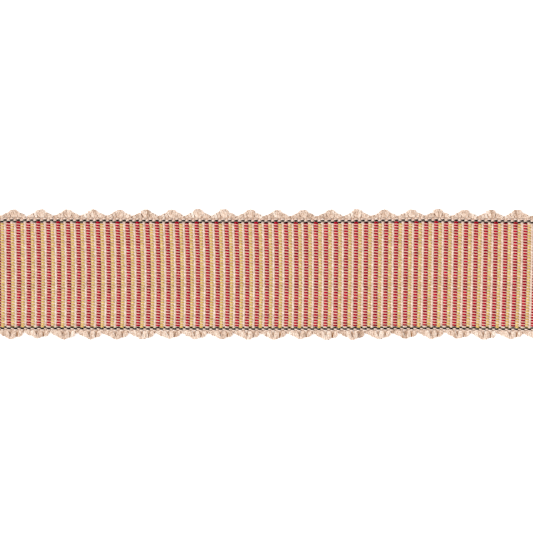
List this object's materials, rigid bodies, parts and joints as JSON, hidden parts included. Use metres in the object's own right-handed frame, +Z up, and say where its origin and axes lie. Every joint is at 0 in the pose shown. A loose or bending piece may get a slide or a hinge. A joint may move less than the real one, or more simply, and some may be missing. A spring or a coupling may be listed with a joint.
{
  "type": "flat cut length of tape trim",
  "caption": "Flat length of ribbed woven tape trim with cross stripes, black accent yarns and scalloped edges of fanned yarn loops.",
  "frame": {"origin": "middle of the tape on its flat underside, which is the face that is sewn or glued down", "axes": "+X along the tape, +Y across it towards the edge with single-peaked scallops, +Z up out of its ribbed face"},
  "size_m": [0.3188, 0.0751, 0.0021],
  "materials": {
    "band_yarn": "ribbed weave of red, gold and cream yarn with a slight sheen",
    "black_yarn": "twisted soft black yarn",
    "cream_yarn": "twisted cream yarn in fanned loops"
  },
  "bodies": {
    "root": {"ribbed_band": "band_yarn", "accent_yarn_upper": "black_yarn", "accent_yarn_lower": "black_yarn", "scallop_edge_upper": "cream_yarn", "scallop_edge_lower": "cream_yarn"}
  },
  "joints": []
}
